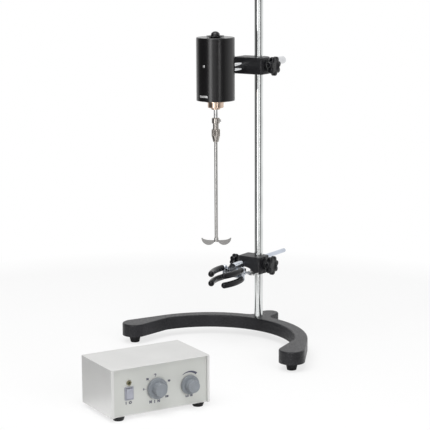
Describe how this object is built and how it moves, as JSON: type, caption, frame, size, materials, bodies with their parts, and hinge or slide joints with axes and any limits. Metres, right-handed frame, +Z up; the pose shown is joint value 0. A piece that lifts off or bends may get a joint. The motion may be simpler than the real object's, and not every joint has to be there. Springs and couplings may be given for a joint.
{
  "type": "overhead stirrer",
  "caption": "Overhead stirrer: C-shaped base with column, motor with chuck and propeller rod on a sliding cross head, two-jaw vessel clamp, separate control box",
  "frame": {"origin": "bottom centre of the whole object's box, on the bench", "axes": "+Z up along the column, +X from the left foot to the right foot, column towards +Y, control box and the open side of the base towards -Y"},
  "size_m": [0.379, 0.6766, 0.7],
  "materials": {
    "base_casting": "black crinkle enamel on cast iron",
    "rubber_foot": "moulded black rubber",
    "column": "polished stainless bar",
    "steel_fastener": "zinc plated steel",
    "case_sheet": "light grey textured enamel on sheet steel",
    "front_panel": "smooth light grey enamel",
    "lamp_bezel": "darkened brass ring",
    "lamp_lens": "dark olive lens",
    "switch_body": "dark grey moulding",
    "switch_rocker": "grey moulding",
    "dial_knob": "mid grey moulded phenolic",
    "dial_shaft": "plain brass",
    "mechanism": "black moulded housing",
    "board": "green laminate",
    "boss": "satin black enamel on die-cast zinc",
    "star_knob": "black moulded phenolic",
    "stud": "turned steel",
    "motor_rod": "polished steel bar",
    "motor_cover": "gloss black stove enamel on drawn steel",
    "motor_plate": "machined aluminium",
    "bearing_brass": "turned brass",
    "iron_core": "laminated iron",
    "bearing_steel": "ball bearing steel",
    "gland": "black moulded nylon",
    "chuck_metal": "turned steel",
    "stir_rod": "stainless rod",
    "clamp_steel": "bright plated steel",
    "jaw_metal": "bright nickel plate on die-cast zinc",
    "prong_vinyl": "dipped black vinyl"
  },
  "bodies": {
    "stand": {"base_casting": "base_casting", "base_foot_left": "rubber_foot", "base_foot_right": "rubber_foot", "base_foot_rear": "rubber_foot", "column": "column", "column_nut": "steel_fastener", "case_cover": "case_sheet", "case_chassis": "case_sheet", "case_feet": "rubber_foot", "front_panel": "front_panel", "lamp_bezel": "lamp_bezel", "lamp_lens": "lamp_lens", "rocker_frame": "switch_body", "timer_movement": "mechanism", "potentiometer": "mechanism", "circuit_board": "board", "mains_gland": "mechanism", "motor_socket": "mechanism", "fuse_holder": "mechanism"},
    "motor_carriage": {"motor_boss": "boss"},
    "carriage_knob": {"boss_column_knob": "star_knob", "boss_column_stud": "stud"},
    "motor_lock_knob": {"boss_rod_knob": "star_knob", "boss_rod_stud": "stud"},
    "motor_unit": {"motor_rod": "motor_rod", "motor_cover": "motor_cover", "motor_end_plate": "motor_plate", "bearing_housing": "bearing_brass", "motor_bearings": "bearing_steel", "motor_stator": "iron_core", "gland_washer": "motor_plate", "cable_gland": "gland"},
    "rotor": {"motor_shaft": "bearing_steel", "armature": "iron_core", "chuck_body": "chuck_metal", "chuck_screw": "steel_fastener", "chuck_collet": "chuck_metal", "stirring_rod": "stir_rod", "propeller": "stir_rod"},
    "chuck_nut": {"chuck_nut": "chuck_metal"},
    "clamp_carriage": {"clamp_boss": "boss"},
    "clamp_carriage_knob": {"clamp_column_knob": "star_knob", "clamp_column_stud": "stud"},
    "clamp_lock_knob": {"clamp_rod_knob": "star_knob", "clamp_rod_stud": "stud"},
    "clamp_head": {"clamp_rod": "clamp_steel", "clamp_yoke": "jaw_metal", "jaw_pins": "stud"},
    "jaw_left": {"jaw_left": "jaw_metal", "jaw_sleeves_left": "prong_vinyl"},
    "jaw_right": {"jaw_right": "jaw_metal", "jaw_sleeves_right": "prong_vinyl"},
    "wing_left": {"wing_screw_left": "stud"},
    "wing_right": {"wing_screw_right": "stud"},
    "power_rocker": {"rocker": "switch_rocker"},
    "timer_dial": {"timer_knob": "dial_knob", "timer_shaft": "dial_shaft"},
    "speed_dial": {"speed_knob": "dial_knob", "speed_shaft": "dial_shaft"}
  },
  "joints": [
    {"name": "motor_height", "type": "slide", "parent": "stand", "child": "motor_carriage", "axis": [0, 0, 1], "range_m": [-0.025, 0.18]},
    {"name": "carriage_knob_turn", "type": "hinge", "parent": "motor_carriage", "child": "carriage_knob", "pos_m": [0.0219, 0.21925, 0.5], "axis": [1, 0, 0], "range_deg": [0, 720]},
    {"name": "motor_lock_turn", "type": "hinge", "parent": "motor_carriage", "child": "motor_lock_knob", "pos_m": [-0.0403, 0.21925, 0.5], "axis": [-1, 0, 0], "range_deg": [0, 720]},
    {"name": "motor_reach", "type": "slide", "parent": "motor_carriage", "child": "motor_unit", "axis": [0, 1, 0], "range_m": [-0.08, 0.04]},
    {"name": "stirrer_spin", "type": "hinge", "parent": "motor_unit", "child": "rotor", "pos_m": [-0.018, 0.10725, 0.4], "axis": [0, 0, 1], "continuous": true},
    {"name": "chuck_nut_turn", "type": "hinge", "parent": "rotor", "child": "chuck_nut", "pos_m": [-0.018, 0.10725, 0.39], "axis": [0, 0, 1], "range_deg": [0, 540]},
    {"name": "clamp_height", "type": "slide", "parent": "stand", "child": "clamp_carriage", "axis": [0, 0, 1], "range_m": [-0.08, 0.015]},
    {"name": "clamp_carriage_knob_turn", "type": "hinge", "parent": "clamp_carriage", "child": "clamp_carriage_knob", "pos_m": [0.0188, 0.21925, 0.136], "axis": [1, 0, 0], "range_deg": [0, 720]},
    {"name": "clamp_lock_turn", "type": "hinge", "parent": "clamp_carriage", "child": "clamp_lock_knob", "pos_m": [-0.0323, 0.21225, 0.1378], "axis": [-1, 0, 0], "range_deg": [0, 720]},
    {"name": "clamp_reach", "type": "slide", "parent": "clamp_carriage", "child": "clamp_head", "axis": [0, 1, 0], "range_m": [-0.09, 0.008]},
    {"name": "jaw_left_swing", "type": "hinge", "parent": "clamp_head", "child": "jaw_left", "pos_m": [-0.03, 0.16825, 0.127], "axis": [0, 0, 1], "range_deg": [-25, 6]},
    {"name": "jaw_right_swing", "type": "hinge", "parent": "clamp_head", "child": "jaw_right", "pos_m": [-0.006, 0.16825, 0.127], "axis": [0, 0, 1], "range_deg": [-6, 25]},
    {"name": "wing_left_turn", "type": "hinge", "parent": "clamp_head", "child": "wing_left", "pos_m": [-0.038, 0.17825, 0.127], "axis": [-1, 0, 0], "range_deg": [-800, 200]},
    {"name": "wing_right_turn", "type": "hinge", "parent": "clamp_head", "child": "wing_right", "pos_m": [0.002, 0.17825, 0.127], "axis": [1, 0, 0], "range_deg": [-800, 200]},
    {"name": "rocker_tip", "type": "hinge", "parent": "stand", "child": "power_rocker", "pos_m": [0.09841, -0.30926, 0.0421], "axis": [-0.4352, -0.9003, 0], "range_deg": [0, 14]},
    {"name": "timer_turn", "type": "hinge", "parent": "stand", "child": "timer_dial", "pos_m": [0.11952, -0.26559, 0.043], "axis": [-0.9003, 0.4352, 0], "range_deg": [0, 300]},
    {"name": "speed_turn", "type": "hinge", "parent": "stand", "child": "speed_dial", "pos_m": [0.14476, -0.21338, 0.04], "axis": [-0.9003, 0.4352, 0], "range_deg": [0, 270]}
  ],
  "couplings": [
    {"joint": "wing_left_turn", "follows": "jaw_left_swing", "ratio": 31.4},
    {"joint": "wing_right_turn", "follows": "jaw_right_swing", "ratio": -31.4}
  ]
}
